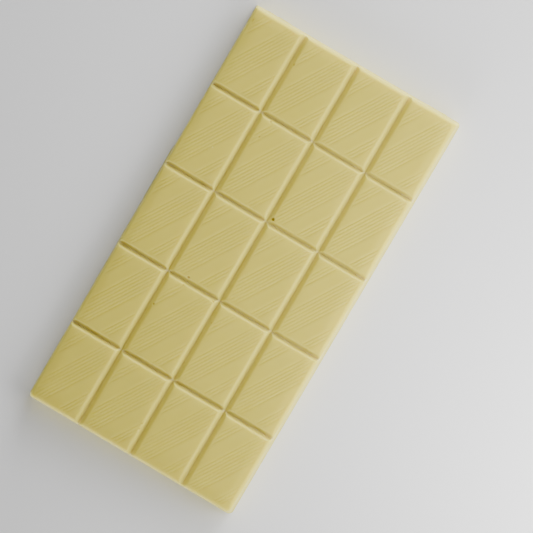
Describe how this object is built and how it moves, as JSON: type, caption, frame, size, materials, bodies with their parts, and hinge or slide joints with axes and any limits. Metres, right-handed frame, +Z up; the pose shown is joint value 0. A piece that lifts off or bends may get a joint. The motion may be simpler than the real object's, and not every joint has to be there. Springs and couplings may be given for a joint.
{
  "type": "chocolate bar",
  "caption": "Moulded bar of pale white chocolate: a flat slab split by V grooves into rectangular tiles with fine slanting ribs, to snap apart and eat.",
  "frame": {"origin": "centre of the flat back that the bar lies on", "axes": "+X across the bar to the right, +Y along its length to the far end with the sharper corners, +Z up out of the moulded face"},
  "size_m": [0.0784, 0.1501, 0.0072],
  "materials": {
    "white_chocolate": "smooth waxy white chocolate, satin, pale creamy yellow, slightly translucent"
  },
  "bodies": {
    "root": {"chocolate_bar": "white_chocolate"}
  },
  "joints": []
}
